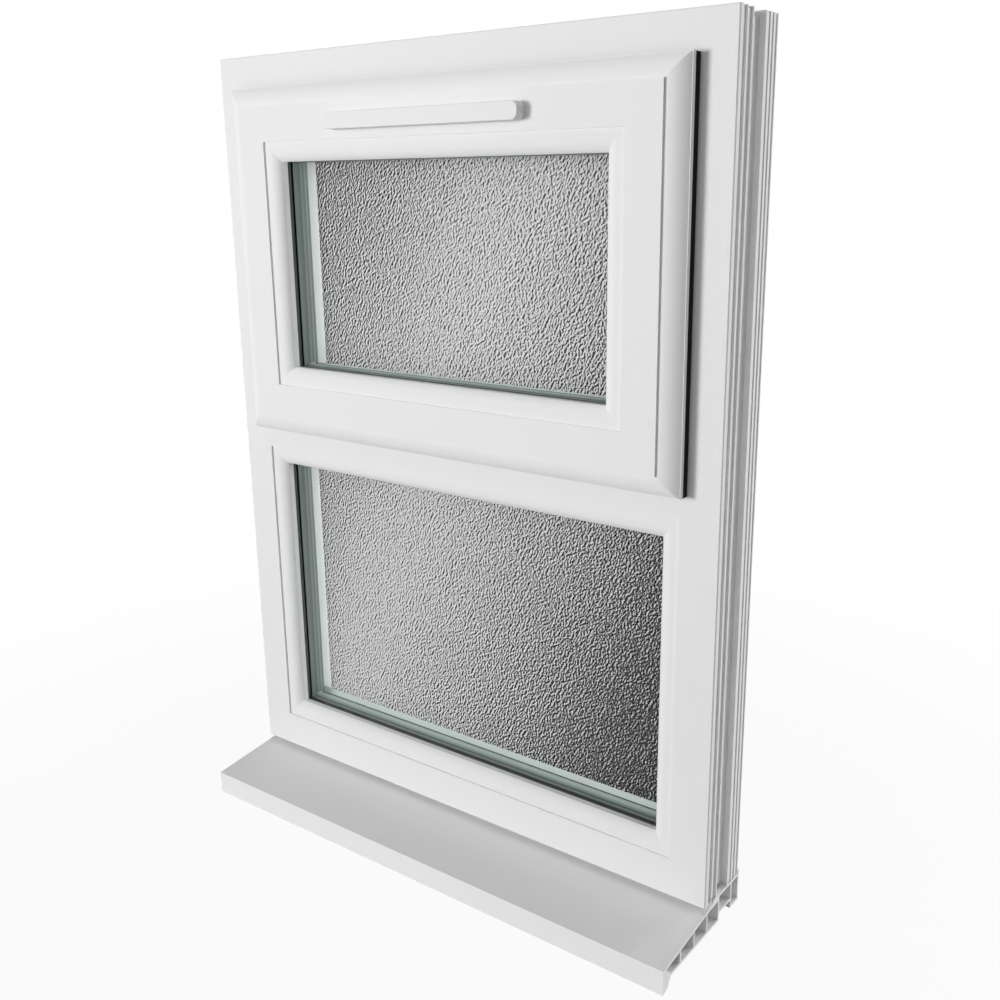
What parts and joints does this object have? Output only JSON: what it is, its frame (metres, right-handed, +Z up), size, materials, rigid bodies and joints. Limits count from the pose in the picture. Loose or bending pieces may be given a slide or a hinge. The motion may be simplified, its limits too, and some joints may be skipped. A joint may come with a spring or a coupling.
{
  "type": "top-hung window",
  "caption": "Top-hung plastic window: opener on friction stays over a fixed light, obscure double glazing, hooded vent, locking handle and projecting cill.",
  "frame": {"origin": "on the bedding face under the cill, below the middle of the frame's outer face", "axes": "+X to the right seen from outside, +Y from the outer face into the room, +Z up"},
  "size_m": [0.61, 0.161, 0.8377],
  "materials": {
    "white_upvc": "smooth white, semi-gloss",
    "black_seal": "matt black",
    "clear_glass": "clear float glass",
    "obscure_glass": "stippled obscure glass",
    "spacer": "mill finish",
    "unit_sealant": "matt",
    "packer": "matt",
    "stay_steel": "brushed stainless",
    "shoe_nylon": "matt",
    "lock_steel": "zinc plated",
    "cast_zinc": "silver paint on die-cast zinc",
    "screw_steel": "bright zinc",
    "handle_white": "white powder coat",
    "button_chrome": "polished"
  },
  "bodies": {
    "frame": {"frame_head": "white_upvc", "frame_bottom_rail": "white_upvc", "frame_jamb_left": "white_upvc", "frame_jamb_right": "white_upvc", "transom": "white_upvc", "frame_seal": "black_seal", "cill": "white_upvc", "lower_outer_pane": "clear_glass", "lower_inner_pane": "obscure_glass", "lower_spacer_bar": "spacer", "lower_edge_seal": "unit_sealant", "lower_outer_gasket": "black_seal", "lower_inner_gasket": "black_seal", "lower_packers": "packer", "lower_bead_top": "white_upvc", "lower_bead_bottom": "white_upvc", "lower_bead_left": "white_upvc", "lower_bead_right": "white_upvc", "left_stay_track": "stay_steel", "right_stay_track": "stay_steel", "keeps": "cast_zinc", "stay_frame_screws": "screw_steel", "keep_screws": "screw_steel"},
    "left_arm": {"left_stay_arm": "stay_steel"},
    "right_arm": {"right_stay_arm": "stay_steel"},
    "sash": {"sash_top_rail": "white_upvc", "sash_bottom_rail": "white_upvc", "sash_stile_left": "white_upvc", "sash_stile_right": "white_upvc", "sash_seal": "black_seal", "sash_seal_top": "black_seal", "upper_outer_pane": "clear_glass", "upper_inner_pane": "obscure_glass", "upper_spacer_bar": "spacer", "upper_edge_seal": "unit_sealant", "upper_outer_gasket": "black_seal", "upper_inner_gasket": "black_seal", "upper_packers": "packer", "upper_bead_top": "white_upvc", "upper_bead_bottom": "white_upvc", "upper_bead_left": "white_upvc", "upper_bead_right": "white_upvc", "left_stay_vent_bar": "stay_steel", "right_stay_vent_bar": "stay_steel", "lock_faceplate": "lock_steel", "lock_gear_case": "cast_zinc", "handle_base": "handle_white", "handle_screws": "screw_steel", "stay_sash_screws": "screw_steel", "vent_canopy": "white_upvc", "vent_body": "white_upvc"},
    "left_shoe": {"left_stay_shoe": "shoe_nylon"},
    "right_shoe": {"right_stay_shoe": "shoe_nylon"},
    "handle": {"handle_lever": "handle_white", "handle_spindle": "lock_steel", "lock_pinion": "lock_steel"},
    "drive_bar": {"lock_drive_bar": "lock_steel"},
    "lock_button": {"lock_button": "button_chrome"},
    "vent_flap": {"vent_flap": "white_upvc"}
  },
  "joints": [
    {"name": "left_arm_swing", "type": "hinge", "parent": "frame", "child": "left_arm", "pos_m": [-0.2561, 0.006, 0.6015], "axis": [1, 0, 0], "range_deg": [0, 28]},
    {"name": "sash_swing", "type": "hinge", "parent": "left_arm", "child": "sash", "pos_m": [-0.2561, 0.006, 0.6915], "axis": [-1, 0, 0], "range_deg": [0, 56], "deforming": ["sash_seal_top"]},
    {"name": "right_arm_swing", "type": "hinge", "parent": "frame", "child": "right_arm", "pos_m": [0.2561, 0.006, 0.6015], "axis": [1, 0, 0], "range_deg": [0, 28]},
    {"name": "left_shoe_turn", "type": "hinge", "parent": "sash", "child": "left_shoe", "pos_m": [-0.2535, 0.006, 0.7815], "axis": [1, 0, 0], "range_deg": [0, 28]},
    {"name": "right_shoe_turn", "type": "hinge", "parent": "sash", "child": "right_shoe", "pos_m": [0.2535, 0.006, 0.7815], "axis": [1, 0, 0], "range_deg": [0, 28]},
    {"name": "handle_turn", "type": "hinge", "parent": "sash", "child": "handle", "pos_m": [0, 0.0463, 0.4727], "axis": [0, 1, 0], "range_deg": [0, 90]},
    {"name": "drive_bar_slide", "type": "slide", "parent": "sash", "child": "drive_bar", "axis": [-1, 0, 0], "range_m": [0, 0.0126]},
    {"name": "button_press", "type": "slide", "parent": "handle", "child": "lock_button", "axis": [0, -1, 0], "range_m": [0, 0.0025], "stiffness_N_per_m": 400, "springref_m": -0.001},
    {"name": "vent_flap_tilt", "type": "hinge", "parent": "sash", "child": "vent_flap", "pos_m": [0, 0.0548, 0.7505], "axis": [-1, 0, 0], "range_deg": [0, 50]}
  ],
  "couplings": [
    {"joint": "left_arm_swing", "follows": "sash_swing", "ratio": 0.5},
    {"joint": "right_arm_swing", "follows": "sash_swing", "ratio": 0.5},
    {"joint": "left_shoe_turn", "follows": "sash_swing", "ratio": 0.5},
    {"joint": "right_shoe_turn", "follows": "sash_swing", "ratio": 0.5},
    {"joint": "drive_bar_slide", "follows": "handle_turn", "m_per_rad": 0.008}
  ]
}
